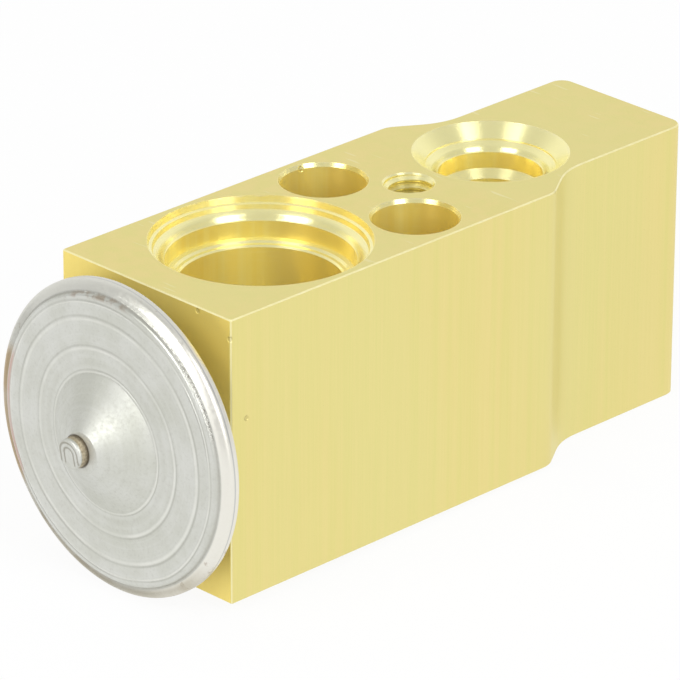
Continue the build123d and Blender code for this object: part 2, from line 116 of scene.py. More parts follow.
# ---- Colours of the block, as linear red, green and blue ---------------------------------------
gold_wide_lines = ((0.81, 0.725, 0.275), (0.845, 0.725, 0.295))
gold_broad_shade = (0.80, 0.74, 0.30)
gold_fine_lines = (0.89, 0.785, 0.36)
# The streak colours are brighter than the outer faces: painted light inside the holes.
gold_hole_streaks_painted_light = ((0.98, 0.83, 0.25), (0.99, 0.88, 0.32))
gold_hole_rings = (0.98, 0.92, 0.45)
# Paler colour for surfaces in the holes that face upward: painted light.
gold_cones_painted_light = (0.98, 0.92, 0.47)
# Warmer colour for faces turned toward the head: painted reflected light.
gold_head_end_painted_reflection = (0.93, 0.75, 0.21)
# Paler colour on the bevels: painted highlight.
gold_bevel_painted_highlight = (0.95, 0.88, 0.50)
gold_speckles = (0.62, 0.55, 0.23)
gold_scratches = (0.96, 0.90, 0.62)
# Darker colour in the dents: painted shade.
gold_dents_painted_shade = (0.55, 0.47, 0.17)
# Pale colour along the upper edges and the head-side corner: painted highlights.
gold_edge_painted_highlight = (0.98, 0.92, 0.58)

# ---- Colours of the head -----------------------------------------------------------------------
steel_mottle = ((0.63, 0.635, 0.58), (0.68, 0.685, 0.64))
steel_clouds = (0.56, 0.57, 0.49)
steel_grain = (0.50, 0.49, 0.44)
steel_pale_bands = (0.78, 0.785, 0.76)
steel_dark_bands = (0.42, 0.42, 0.37)
# Creases: a painted shade line and a painted highlight on the ridge.
crease_shade = (0.36, 0.36, 0.31)
crease_painted_highlight = (0.86, 0.86, 0.80)
# Paler rim, and paler still on its right: painted sheen and painted highlight.
rim_painted_sheen = (0.82, 0.81, 0.74)
rim_right_painted_highlight = (0.93, 0.90, 0.82)
# Weld: painted shade in the pits and painted highlights on the beads.
weld_pits_painted_shade = (0.16, 0.14, 0.12)
weld_beads_painted_highlight = (0.92, 0.92, 0.88)
# Darker groove beside the weld: painted shade.
weld_valley_painted_shade = (0.28, 0.26, 0.22)
scorched = (0.34, 0.25, 0.17)
rim_lower_left_darkening = (0.42, 0.37, 0.28)
tint_golden = (0.56, 0.42, 0.24)
tint_rosy = (0.60, 0.42, 0.36)
# Dark line at the weld step: painted shade.
dark_line_painted_shade = (0.30, 0.24, 0.17)
olive_towards_bottom = (0.44, 0.39, 0.27)
stamp_dark = (0.33, 0.31, 0.25)
plug_tan = ((0.62, 0.53, 0.37), (0.42, 0.34, 0.22))
plug_seam = (0.13, 0.11, 0.08)

# ---- Camera -----------------------------------------------------------------------------------
image_size = 680
sensor_width = 36.0
camera_focal_pixels = 6080.8
camera_azimuth = math.radians(45.193)
camera_elevation = math.radians(24.439)
camera_roll = math.radians(0.266)
camera_distance = 703.48 * MM
# The point seen at the picture's centre, from the head-side end face's lower middle.
view_centre = (22.208 * MM, 26.11 * MM)

# ---- Surroundings: brightness beside the camera and behind the object ---------------------------
surroundings_front = 0.55
surroundings_back = 0.92


def make_camera():
    """Long-lens camera at the photograph's angle."""
    back = Vector(
        (
            math.sin(camera_azimuth) * math.cos(camera_elevation),
            -math.cos(camera_azimuth) * math.cos(camera_elevation),
            math.sin(camera_elevation),
        )
    )
    level_right = Vector((math.cos(camera_azimuth), math.sin(camera_azimuth), 0))
    level_up = back.cross(level_right)
    cosine = math.cos(camera_roll)
    sine = math.sin(camera_roll)
    right = cosine * level_right + sine * level_up
    up = cosine * level_up - sine * level_right
    reference = Vector((0, head_end_y, block_low[2]))
    target = reference + right * view_centre[0] + up * view_centre[1]
    eye = target + back * camera_distance
    data = bpy.data.cameras.new("camera")
    data.sensor_width = sensor_width
    data.lens = camera_focal_pixels * sensor_width / image_size
    data.clip_start = 0.01
    data.clip_end = 20
    camera = bpy.data.objects.new("camera", data)
    camera.matrix_world = Matrix(
        (
            (right.x, up.x, back.x, eye.x),
            (right.y, up.y, back.y, eye.y),
            (right.z, up.z, back.z, eye.z),
            (0, 0, 0, 1),
        )
    )
    bpy.context.collection.objects.link(camera)
    bpy.context.scene.camera = camera


# ---- Node helpers -----------------------------------------------------------------------------
def add_node(tree, kind, operation):
    """New node of a kind, set to an operation."""
    node = tree.nodes.new(kind)
    node.operation = operation
    return node


class Nodes:
    """Small helper that builds one material's node tree."""

    def __init__(self, name):
        self.material = bpy.data.materials.new(name)
        self.material.use_nodes = True
        self.tree = self.material.node_tree
        self.shader = self.tree.nodes["Principled BSDF"]
        coordinates = self.tree.nodes.new("ShaderNodeTexCoord")
        self.place = coordinates.outputs["Object"]
        self.x, self.y, self.z = self.split(self.place)

    def link(self, value, socket):
        """Put a number or another node's output on a socket."""
        if isinstance(value, bpy.types.NodeSocket):
            self.tree.links.new(value, socket)
        else:
            socket.default_value = value

    def math(self, operation, a, b=0.0, clamp=False):
        """One Math node."""
        node = add_node(self.tree, "ShaderNodeMath", operation)
        node.use_clamp = clamp
        self.link(a, node.inputs[0])
        self.link(b, node.inputs[1])
        return node.outputs[0]

    def split(self, vector):
        """X, Y and Z of a vector."""
        node = self.tree.nodes.new("ShaderNodeSeparateXYZ")
        self.link(vector, node.inputs[0])
        return node.outputs[0], node.outputs[1], node.outputs[2]

    def scaled(self, vector, scale):
        """A vector times a scale for each axis."""
        node = add_node(self.tree, "ShaderNodeVectorMath", "MULTIPLY")
        self.link(vector, node.inputs[0])
        node.inputs[1].default_value = scale
        return node.outputs[0]

    def noise(self, stretch, scale, detail=3.0, roughness=0.5):
        """Noise from 0 to 1, with features per metre and a stretch for each axis."""
        node = self.tree.nodes.new("ShaderNodeTexNoise")
        self.link(self.scaled(self.place, stretch), node.inputs["Vector"])
        node.inputs["Scale"].default_value = scale
        node.inputs["Detail"].default_value = detail
        node.inputs["Roughness"].default_value = roughness
        return node.outputs[0]

    def band_noise(self, value, scale, detail=2.0):
        """Noise from 0 to 1 along one value only, which makes bands."""
        node = self.tree.nodes.new("ShaderNodeTexNoise")
        node.noise_dimensions = "1D"
        self.link(value, node.inputs["W"])
        node.inputs["Scale"].default_value = scale
        node.inputs["Detail"].default_value = detail
        return node.outputs[0]

    def ramp(self, value, low, high, start=0.0, end=1.0):
        """start below low, end above high, and a smooth blend between."""
        node = self.tree.nodes.new("ShaderNodeMapRange")
        node.interpolation_type = "SMOOTHSTEP"
        self.link(value, node.inputs["Value"])
        node.inputs["From Min"].default_value = low
        node.inputs["From Max"].default_value = high
        node.inputs["To Min"].default_value = start
        node.inputs["To Max"].default_value = end
        return node.outputs[0]

    def span(self, value, rise, fall):
        """1 between two soft ends, each given by where it begins and ends."""
        return self.both(self.ramp(value, *rise), self.ramp(value, *fall, 1.0, 0.0))

    def line(self, value, centre, half_width_of_line):
        """1 where a value is at the centre, falling to 0 at the line's sides."""
        away = self.math("ABSOLUTE", self.math("SUBTRACT", value, centre))
        return self.ramp(away, 0.0, half_width_of_line, 1.0, 0.0)

    def both(self, *masks):
        """Where all masks hold."""
        result = masks[0]
        for mask in masks[1:]:
            result = self.math("MULTIPLY", result, mask)
        return result

    def either(self, *masks):
        """Where any mask holds."""
        result = masks[0]
        for mask in masks[1:]:
            result = self.math("MAXIMUM", result, mask)
        return result

    def mix(self, share, a, b):
        """Colour a to colour b by a share."""
        node = self.tree.nodes.new("ShaderNodeMix")
        node.data_type = "RGBA"
        self.link(share, node.inputs[0])
        for colour, socket in ((a, node.inputs[6]), (b, node.inputs[7])):
            if isinstance(colour, bpy.types.NodeSocket):
                self.tree.links.new(colour, socket)
            else:
                socket.default_value = (*colour, 1)
        return node.outputs[2]

    def tint(self, colour, mask, share, other):
        """Colour moved toward another by a share, within a mask."""
        return self.mix(self.math("MULTIPLY", mask, share), colour, other)

    def bump(self, height, distance, normal=None):
        """Bump whose height of 1 stands for a distance."""
        node = self.tree.nodes.new("ShaderNodeBump")
        node.inputs["Strength"].default_value = 1.0
        node.inputs["Distance"].default_value = distance
        self.link(height, node.inputs["Height"])
        if normal is not None:
            self.link(normal, node.inputs["Normal"])
        return node.outputs[0]

    def distance(self, a, centre_a, b, centre_b):
        """Distance from an axis, from the two coordinates across it."""
        from_a = self.math("SUBTRACT", a, centre_a)
        from_b = self.math("SUBTRACT", b, centre_b)
        square_a = self.math("MULTIPLY", from_a, from_a)
        square_b = self.math("MULTIPLY", from_b, from_b)
        return self.math("SQRT", self.math("ADD", square_a, square_b))

    def spot(self, centre, radius):
        """1 within a ball around a point, fading to 0 at its radius."""
        node = add_node(self.tree, "ShaderNodeVectorMath", "DISTANCE")
        self.tree.links.new(self.place, node.inputs[0])
        node.inputs[1].default_value = centre
        return self.ramp(node.outputs["Value"], radius * 0.5, radius, 1.0, 0.0)

    def own_normal(self):
        """The surface's own normal."""
        return self.tree.nodes.new("ShaderNodeNewGeometry").outputs["Normal"]

    def around_z(self, normal):
        """Level direction along the surface, which runs around an upright hole's wall."""
        node = add_node(self.tree, "ShaderNodeVectorMath", "CROSS_PRODUCT")
        self.tree.links.new(normal, node.inputs[0])
        node.inputs[1].default_value = (0, 0, 1)
        return node.outputs[0]

    def joined(self, x, y, z):
        """Vector of three values."""
        node = self.tree.nodes.new("ShaderNodeCombineXYZ")
        for value, socket in zip((x, y, z), node.inputs):
            self.link(value, socket)
        return node.outputs[0]

    def true_round(self, normal, across_x, across_y):
        """The normal of a hole's wall, made exactly round about the hole's own axis."""
        rise = self.split(normal)[2]
        level_square = self.math("SUBTRACT", 1.0, self.math("MULTIPLY", rise, rise), clamp=True)
        level = self.math("SQRT", level_square)
        share = self.math("DIVIDE", level, self.distance(across_x, 0, across_y, 0))
        inward = self.math("MULTIPLY", share, -1)
        ideal_x = self.math("MULTIPLY", across_x, inward)
        ideal_y = self.math("MULTIPLY", across_y, inward)
        ideal = self.joined(ideal_x, ideal_y, rise)
        alike = add_node(self.tree, "ShaderNodeVectorMath", "DOT_PRODUCT")
        self.tree.links.new(normal, alike.inputs[0])
        self.tree.links.new(ideal, alike.inputs[1])
        mix = self.tree.nodes.new("ShaderNodeMix")
        mix.data_type = "VECTOR"
        self.tree.links.new(self.ramp(alike.outputs["Value"], 0.97, 0.98), mix.inputs[0])
        self.tree.links.new(normal, mix.inputs[4])
        self.tree.links.new(ideal, mix.inputs[5])
        return mix.outputs[1]

    def finish(self, colour, metallic, rough, normal):
        """Put the results on the shader and give back the material."""
        self.link(colour, self.shader.inputs["Base Color"])
        self.link(metallic, self.shader.inputs["Metallic"])
        self.link(rough, self.shader.inputs["Roughness"])
        self.link(normal, self.shader.inputs["Normal"])
        return self.material


# ---- Materials --------------------------------------------------------------------------------
def hole_walls(nodes, normal):
    """1 on the walls of the ports and holes and 0 on the outer faces, and the walls' round normal."""
    upper = nodes.ramp(nodes.z, top_z - port_depth - MM, top_z - port_depth)
    lower = nodes.ramp(nodes.z, port_depth, port_depth + MM, 1.0, 0.0)
    through = nodes.ramp(nodes.z, -2 * MM, -MM)
    holes = (
        (0, suction_y, suction_mouth_r, through),
        (hole_x, 0, mounting_mouth_r, through),
        (-hole_x, 0, mounting_mouth_r, through),
        (0, flange_screw_y, flange_screw_mouth_r, upper),
        (0, inlet_y, inlet_mouth_r, upper),
        (0, outlet_y, outlet_mouth_r, lower),
    )
    edge = 0.03 * MM
    masks = []
    across_x = nodes.x
    across_y = nodes.y
    for centre_x, centre_y, radius, levels in holes:
        away = nodes.distance(nodes.x, centre_x, nodes.y, centre_y)
        mask = nodes.both(nodes.ramp(away, radius, radius + edge, 1.0, 0.0), levels)
        across_x = nodes.math("SUBTRACT", across_x, nodes.math("MULTIPLY", mask, centre_x))
        across_y = nodes.math("SUBTRACT", across_y, nodes.math("MULTIPLY", mask, centre_y))
        masks.append(mask)
    round_normal = nodes.true_round(normal, across_x, across_y)
    from_axis = nodes.distance(nodes.x, 0, nodes.z, axis_z)
    masks.append(nodes.ramp(from_axis, screw_bore_mouth_r, screw_bore_mouth_r + edge, 1.0, 0.0))
    return nodes.either(*masks), round_normal


def painted_edge_highlights(nodes, toward_z):
    """Broken painted highlights along the upper edges, and a painted highlight line down the head-side
    corner.
    """
    rim = nodes.ramp(nodes.z, top_z - 0.22 * MM, top_z - 0.1 * MM)
    upright = nodes.ramp(nodes.math("ABSOLUTE", toward_z), 0.9, 0.98, 1.0, 0.0)
    broken = nodes.ramp(nodes.noise((1, 1, 0.4), 900, detail=3.0), 0.42, 0.68, 0.0, 0.5)
    corner = nodes.ramp(nodes.math("ABSOLUTE", nodes.x), half_width - 0.16 * MM, half_width - 0.1 * MM)
    near_head = nodes.ramp(nodes.y, head_end_y + 0.1 * MM, head_end_y + 0.18 * MM, 1.0, 0.0)
    return nodes.both(rim, upright, broken), nodes.both(corner, near_head)


def outside_colour(nodes, fine_lines):
    """Outer faces of the block: extrusion lines along Z over a broad shade."""
    wide_lines = nodes.noise((1, 1, 0.006), 420, detail=3.0)
    broad_shade = nodes.noise((1, 1, 0.3), 45, detail=2.0)
    colour = nodes.mix(nodes.ramp(wide_lines, 0.35, 0.65), *gold_wide_lines)
    colour = nodes.mix(nodes.ramp(broad_shade, 0.4, 0.65, 0.0, 0.6), colour, gold_broad_shade)
    return nodes.mix(nodes.ramp(fine_lines, 0.35, 0.7, 0.0, 0.35), colour, gold_fine_lines)


def hole_colour(nodes, rings, toward_z, head_end):
    """Holes: upright streaks from the reamer in a colour brightened as painted light, rings from the
    turned profile, paler painted light on upward-facing cones, and a warmer painted reflection on
    faces turned toward the head.
    """
    streaks = nodes.noise((1, 1, 0.01), 700, detail=3.0, roughness=0.6)
    colour = nodes.mix(nodes.ramp(streaks, 0.35, 0.65), *gold_hole_streaks_painted_light)
    colour = nodes.mix(nodes.ramp(rings, 0.5, 0.75, 0.0, 0.25), colour, gold_hole_rings)
    # Upward-facing cones and ledges turn paler: painted light.
    colour = nodes.mix(nodes.ramp(toward_z, 0.2, 0.5), colour, gold_cones_painted_light)
    return nodes.mix(head_end, colour, gold_head_end_painted_reflection)


def marked(nodes, colour, outside, bevel, toward_z, dents):
    """Block colour with painted highlights on its bevels, speckles, scratches, painted shade in its
    dents, and painted highlights along its upper edges.
    """
    # Bevels turn paler: painted highlight.
    colour = nodes.tint(colour, bevel, 0.7, gold_bevel_painted_highlight)
    speckle = nodes.noise((1, 1, 1), 6500, detail=2.0)
    speckles = nodes.both(nodes.ramp(speckle, 0.62, 0.8, 0.0, 0.35), outside)
    colour = nodes.mix(speckles, colour, gold_speckles)
    scratch_noise = nodes.noise((0.12, 1, 1), 1500, detail=1.0)
    on_top = nodes.ramp(toward_z, 0.9, 0.98)
    scratches = nodes.both(nodes.ramp(scratch_noise, 0.7, 0.76), on_top, outside)
    colour = nodes.tint(colour, scratches, 0.35, gold_scratches)
    # Dents turn darker: painted shade.
    colour = nodes.tint(colour, dents, 0.45, gold_dents_painted_shade)
    # Pale marks along the edges: painted highlights.
    return nodes.mix(nodes.either(*painted_edge_highlights(nodes, toward_z)), colour, gold_edge_painted_highlight)


def gold_aluminium():
    """Pale gold block: extrusion lines on its sides, turned and reamed marks in its holes."""
    nodes = Nodes("gold_aluminium")
    own_normal = nodes.own_normal()
    _, toward_y, toward_z = nodes.split(own_normal)
    tilt = nodes.math("ABSOLUTE", toward_z)
    walls, wall_normal = hole_walls(nodes, own_normal)
    outside = nodes.math("SUBTRACT", 1.0, walls)
    # The sawn end behind the head, and every face turned its way, takes the holes' colour and then a
    # warmer tone: painted reflected light.
    head_end = nodes.ramp(toward_y, -0.9, -0.7, 1.0, 0.0)
    warm = nodes.either(walls, head_end)
    bevel = nodes.both(nodes.span(tilt, (0.3, 0.5), (0.8, 0.95)), outside)
    dents = nodes.either(*(nodes.spot(centre, size) for centre, size in dents_drawn))
    # Extrusion lines run along Z, so their noise is stretched that way.
    fine_lines = nodes.noise((1, 1, 0.012), 4200, detail=3.0, roughness=0.7)
    rings = nodes.noise((0.03, 0.03, 1), 5200, detail=3.0, roughness=0.7)
    inner = hole_colour(nodes, rings, toward_z, head_end)
    colour = nodes.mix(warm, outside_colour(nodes, fine_lines), inner)
    colour = marked(nodes, colour, outside, bevel, toward_z, dents)
    rough_outside = nodes.both(nodes.ramp(fine_lines, 0.3, 0.7, 0.42, 0.5), outside)
    rough = nodes.math("ADD", rough_outside, nodes.math("MULTIPLY", walls, 0.27))
    dull_upright = nodes.both(warm, nodes.ramp(tilt, 0.2, 0.4, 0.34, 0.2))
    dull = nodes.either(dull_upright, nodes.math("MULTIPLY", bevel, 0.45))
    metallic = nodes.math("SUBTRACT", 0.95, dull)
    # Turned and reamed marks spread light up and down the walls.
    sloped = nodes.ramp(tilt, 0.9, 0.97, 0.85, 0.0)
    nodes.link(nodes.both(walls, sloped), nodes.shader.inputs["Anisotropic"])
    nodes.link(nodes.around_z(wall_normal), nodes.shader.inputs["Tangent"])
    nodes.shader.inputs["Anisotropic Rotation"].default_value = 0.25
    faint_rings = nodes.math("MULTIPLY", rings, 0.3)
    normal = nodes.bump(nodes.mix(walls, fine_lines, faint_rings), 0.0015 * MM, wall_normal)
    # The cones of the two upper ports round over into their seal walls.
    toward_top = nodes.ramp(nodes.z, axis_z, axis_z + 12 * MM)
    for port_y, gland_r in ((suction_y, suction_gland_r), (inlet_y, inlet_gland_r)):
        away = nodes.distance(nodes.x, 0, nodes.y, port_y)
        inside = nodes.ramp(away, gland_r, gland_r + seat_rounding, 1.0, 0.0)
        normal = nodes.bump(nodes.both(inside, toward_top), -0.3 * MM, normal)
    normal = nodes.bump(dents, -0.08 * MM, normal)
    return nodes.finish(colour, metallic, rough, normal)


def plug_marks(nodes, from_plug):
    """Masks of the charge plug: its stamped arches, its side and the seam at its foot."""
    plug_front = plug_low[1]
    plug_back = plug_high[1]
    front = nodes.ramp(nodes.y, plug_front + 0.1 * MM, plug_front + 0.25 * MM, 1.0, 0.0)
    face = nodes.both(nodes.ramp(from_plug, plug_r - 0.02 * MM, plug_r, 1.0, 0.0), front)
    # Two nested arches that lean and are open below
    above = nodes.math("MAXIMUM", nodes.math("SUBTRACT", nodes.z, axis_z + 0.1 * MM), 0.0)
    lean = nodes.math("MULTIPLY", nodes.math("SUBTRACT", nodes.z, axis_z), 0.22)
    across = nodes.math("SUBTRACT", nodes.math("ADD", nodes.x, lean), plug_x)
    arch = nodes.distance(nodes.math("MULTIPLY", across, 0.9), 0, above, 0)
    legs = nodes.ramp(nodes.z, axis_z - 1.35 * MM, axis_z - 1.0 * MM)
    outer_arch = nodes.line(arch, 1.25 * MM, 0.2 * MM)
    inner_arch = nodes.line(arch, 0.68 * MM, 0.2 * MM)
    stamp = nodes.both(nodes.either(outer_arch, inner_arch), legs, face)
    behind = nodes.ramp(nodes.y, plug_front + 0.3 * MM, plug_front + 0.5 * MM)
    side = nodes.both(nodes.line(from_plug, plug_r, 0.1 * MM), behind)
    at_foot = nodes.ramp(nodes.y, plug_back - 1.5 * MM, plug_back - 1.0 * MM)
    seam = nodes.both(nodes.line(from_plug, plug_r + 0.08 * MM, 0.2 * MM), at_foot)
    return stamp, side, seam


def crease_masks(nodes, radius):
    """The pressed creases of the cover: a painted highlight on each ridge, with a line of painted
    shade outside it.
    """
    strength = nodes.ramp(nodes.noise((1, 1, 1), 130, detail=2.0), 0.35, 0.65, 0.45, 1.0)
    ridges = [nodes.line(radius, crease_r, width) for crease_r, width in creases_drawn]
    shades = [nodes.line(radius, crease_r + width, 0.7 * width) for crease_r, width in creases_drawn]
    return nodes.both(nodes.either(*ridges), strength), nodes.both(nodes.either(*shades), strength)


def weld_masks(nodes, from_axis):
    """Painted highlights on the weld's beads and painted shade in its pits, on the one part of the
    step where they show.
    """
    bead_noise = nodes.noise((1, 1, 1), 4800, detail=1.0)
    bead_arc = nodes.both(
        nodes.span(nodes.z, (22.5 * MM, 24.5 * MM), (30.0 * MM, 33.0 * MM)),
        nodes.ramp(nodes.x, 9.0 * MM, 12.0 * MM),
    )
    weld = nodes.both(nodes.line(from_axis, weld_r + 0.08 * MM, 0.18 * MM), bead_arc)
    beads = nodes.both(weld, nodes.ramp(bead_noise, 0.5, 0.68))
    pits = nodes.both(weld, nodes.ramp(bead_noise, 0.35, 0.5, 1.0, 0.0))
    return beads, pits


def sheet_colour(nodes, radius, mottle, fine):
    """Satin sheet with clouds, grain and the faint bands of its forming."""
    colour = nodes.mix(nodes.ramp(mottle, 0.35, 0.65), *steel_mottle)
    clouds = nodes.noise((1, 1, 1), 75, detail=3.0, roughness=0.6)
    colour = nodes.mix(nodes.ramp(clouds, 0.45, 0.7, 0.0, 0.35), colour, steel_clouds)
    colour = nodes.mix(nodes.ramp(fine, 0.5, 0.8, 0.0, 0.35), colour, steel_grain)
    bands = nodes.band_noise(radius, 1500)
    colour = nodes.mix(nodes.ramp(bands, 0.5, 0.7, 0.0, 0.13), colour, steel_pale_bands)
    return nodes.mix(nodes.ramp(bands, 0.3, 0.48, 0.07, 0.0), colour, steel_dark_bands)


def with_rim_scorch_and_darkening(nodes, colour, from_axis):
    """Scorched smears beside the weld, and a darker brown towards the rim's lower left."""
    near_rim = nodes.ramp(from_axis, 16.9 * MM, 17.6 * MM)
    scorch_noise = nodes.noise((1, 1, 1), 700, detail=4.0, roughness=0.65)
    scorch_place = nodes.noise((1, 1, 1), 70, detail=1.0)
    scorch = nodes.both(
        near_rim,
        nodes.ramp(scorch_noise, 0.58, 0.7),
        nodes.ramp(scorch_place, 0.5, 0.62),
    )
    smear = nodes.both(
        nodes.line(from_axis, 17.5 * MM, 0.5 * MM),
        nodes.span(nodes.x, (-8.0 * MM, -5.0 * MM), (1.5 * MM, 4.0 * MM)),
        nodes.ramp(nodes.z, 30.0 * MM, 32.0 * MM),
        nodes.ramp(nodes.noise((1, 1, 1), 900, detail=5.0), 0.42, 0.6),
    )
    colour = nodes.tint(colour, nodes.either(scorch, smear), 0.65, scorched)
    # Darker brown towards the rim's lower left.
    darker_lower_left = nodes.both(
        nodes.ramp(from_axis, 17.3 * MM, 18.2 * MM, 0.0, 0.6),
        nodes.ramp(nodes.x, -4.0 * MM, 4.0 * MM, 1.0, 0.0),
        nodes.ramp(nodes.z, 12.0 * MM, 18.0 * MM, 1.0, 0.0),
        nodes.ramp(nodes.noise((1, 1, 1), 450, detail=4.0), 0.4, 0.58, 0.3, 1.0),
    )
    return nodes.mix(darker_lower_left, colour, rim_lower_left_darkening)


def with_heat_tint_and_painted_shade(nodes, colour, from_axis):
    """Heat tint, golden with a rosy line inside it, on the left edge; a line of painted shade at the
    weld step there; and darker olive towards the bottom.
    """
    left = nodes.both(
        nodes.ramp(nodes.x, -15.2 * MM, -14.4 * MM, 1.0, 0.0),
        nodes.span(nodes.z, (6.5 * MM, 9.0 * MM), (22.5 * MM, 25.0 * MM)),
    )
    patchy = nodes.ramp(nodes.noise((1, 1, 1), 300, detail=2.0), 0.3, 0.6, 0.7, 1.0)
    golden_band = nodes.ramp(from_axis, golden_start_r, golden_start_r + 0.2 * MM, 0.0, 0.95)
    golden = nodes.both(golden_band, left, patchy)
    rosy = nodes.both(nodes.line(from_axis, rosy_line_r, 0.45 * MM), left, patchy)
    # A line of painted shade at the weld step on the left.
    dark_line = nodes.both(nodes.line(from_axis, dark_line_r, 0.16 * MM), left)
    colour = nodes.mix(golden, colour, tint_golden)
    colour = nodes.tint(colour, rosy, 0.95, tint_rosy)
    colour = nodes.tint(colour, dark_line, 0.5, dark_line_painted_shade)
    # Darker olive towards the bottom of the rim.
    below = nodes.ramp(nodes.z, 3.0 * MM, 8.0 * MM, 1.0, 0.0)
    olive_band = nodes.ramp(from_axis, golden_start_r, golden_start_r + 0.8 * MM, 0.0, 0.6)
    olive = nodes.both(olive_band, below, patchy)
    return nodes.mix(olive, colour, olive_towards_bottom)


def stainless_head():
    """Satin stainless steel of the power head, with creases, weld beads and heat tint, and painted
    highlights and shade on its creases, weld and rim.
    """
    nodes = Nodes("stainless_head")
    from_axis = nodes.distance(nodes.x, 0, nodes.z, axis_z)
    wander_noise = nodes.math("SUBTRACT", nodes.noise((1, 1, 1), 90, detail=1.0), 0.5)
    radius = nodes.math("ADD", from_axis, nodes.math("MULTIPLY", wander_noise, 0.5 * MM))
    mottle = nodes.noise((1, 1, 1), 260, detail=4.0, roughness=0.6)
    fine = nodes.noise((1, 1, 1), 2600, detail=3.0, roughness=0.6)
    colour = sheet_colour(nodes, radius, mottle, fine)
    crease, shade = crease_masks(nodes, radius)
    # Painted shade beside each crease, and a painted highlight on its ridge.
    colour = nodes.tint(colour, shade, 0.45, crease_shade)
    colour = nodes.tint(colour, crease, 0.6, crease_painted_highlight)
    # The weld land turns paler, more on its right side: painted sheen and painted highlight.
    on_rim = nodes.ramp(from_axis, land_start_r, land_start_r + 0.2 * MM)
    colour = nodes.tint(colour, on_rim, 0.6, rim_painted_sheen)
    on_right = nodes.both(on_rim, nodes.ramp(nodes.x, 4.0 * MM, 13.0 * MM))
    colour = nodes.tint(colour, on_right, 0.5, rim_right_painted_highlight)
    beads, pits = weld_masks(nodes, from_axis)
    # Painted shade in the weld's pits and painted highlights on its beads.
    colour = nodes.tint(colour, pits, 0.85, weld_pits_painted_shade)
    colour = nodes.tint(colour, beads, 0.4, weld_beads_painted_highlight)
    # The groove beside the weld turns darker: painted shade.
    valley = nodes.line(from_axis, weld_r + 0.12 * MM, 0.2 * MM)
    colour = nodes.tint(colour, valley, 0.4, weld_valley_painted_shade)
    colour = with_rim_scorch_and_darkening(nodes, colour, from_axis)
    colour = with_heat_tint_and_painted_shade(nodes, colour, from_axis)
    from_plug = nodes.distance(nodes.x, plug_x, nodes.z, axis_z)
    stamp, plug_side, seam = plug_marks(nodes, from_plug)
    colour = nodes.tint(colour, stamp, 0.75, stamp_dark)
    tan = nodes.mix(nodes.ramp(fine, 0.4, 0.6), *plug_tan)
    colour = nodes.tint(colour, plug_side, 0.85, tan)
    colour = nodes.tint(colour, seam, 0.85, plug_seam)
    # Shapes: the rounded weld land, the cone's hollow flank, creases, beads and grain
    on_land = nodes.math("MAXIMUM", from_axis, land_start_r)
    land = nodes.ramp(on_land, 17.2 * MM, rim_r - 0.2 * MM, 1.0, 0.0)
    hollow = nodes.line(from_axis, cone_hollow_r, 3.4 * MM)
    heights = (
        (land, 0.68),
        (hollow, -0.22),
        (crease, 0.06),
        (beads, 0.04),
        (stamp, -0.06),
        (mottle, 0.04),
        (fine, 0.005),
    )
    normal = None
    for mask, height_mm in heights:
        normal = nodes.bump(mask, height_mm * MM, normal)
    duller_cone = nodes.ramp(from_axis, cone_foot_r, cone_foot_r + 0.6 * MM, 0.15, 0.0)
    rough = nodes.math("ADD", nodes.ramp(fine, 0.3, 0.7, 0.34, 0.46), duller_cone)
    return nodes.finish(colour, 0.95, rough, normal)


def plain_metal(name, colour, roughness):
    """Turned or drawn metal of an inner piece."""
    nodes = Nodes(name)
    rings = nodes.noise((0.2, 1.0, 0.2), 1800, detail=3.0)
    darker = tuple(0.85 * channel for channel in colour)
    shade = nodes.mix(rings, darker, colour)
    rough = nodes.ramp(rings, 0.3, 0.7, roughness, roughness + 0.12)
    return nodes.finish(shade, 1.0, rough, nodes.bump(rings, 0.006 * MM))


def seal_rubber():
    """Dark green seal rubber."""
    nodes = Nodes("seal_rubber")
    grain = nodes.noise((1, 1, 1), 2500, detail=2.0)
    shade = nodes.mix(grain, (0.012, 0.05, 0.03), (0.02, 0.07, 0.045))
    rough = nodes.ramp(grain, 0.3, 0.7, 0.45, 0.6)
    return nodes.finish(shade, 0.0, rough, nodes.bump(grain, 0.004 * MM))


materials = {
    "gold_aluminium": gold_aluminium(),
    "stainless_head": stainless_head(),
    "spring_steel": plain_metal("spring_steel", (0.66, 0.66, 0.63), 0.36),
    "ball_steel": plain_metal("ball_steel", (0.72, 0.72, 0.73), 0.08),
    "plain_aluminium": plain_metal("plain_aluminium", (0.68, 0.68, 0.69), 0.3),
    "screw_brass": plain_metal("screw_brass", (0.74, 0.55, 0.26), 0.28),
    "seal_rubber": seal_rubber(),
}


def dress_nodes():
    """Give each CAD node the material of its slot."""
    for part in frame["record"]["subparts"]:
        node = frame["nodes"][part["node"]]
        node.data.materials.clear()
        node.data.materials.append(materials[part["material_slot"]])


# ---- Pieces that the CAD leaves to the looks ----------------------------------------------------
def helix_mesh(name, turns, steps, ring_at):
    """Closed mesh swept along a helix. ring_at(turn) gives the ring of corners at a turn."""
    rings = [ring_at(turns * step / steps) for step in range(steps + 1)]
    count = len(rings[0])
    vertices = [corner for ring in rings for corner in ring]
    faces = []
    for step in range(steps):
        for side in range(count):
            a = step * count + side
            b = step * count + (side + 1) % count
            faces.append((a, b, b + count, a + count))
    faces.append(tuple(range(count - 1, -1, -1)))
    faces.append(tuple(range(steps * count, (steps + 1) * count)))
    mesh = bpy.data.meshes.new(name)
    mesh.from_pydata(vertices, [], faces)
    mesh.validate()
    piece = bpy.data.objects.new(name, mesh)
    bpy.context.collection.objects.link(piece)
    return piece


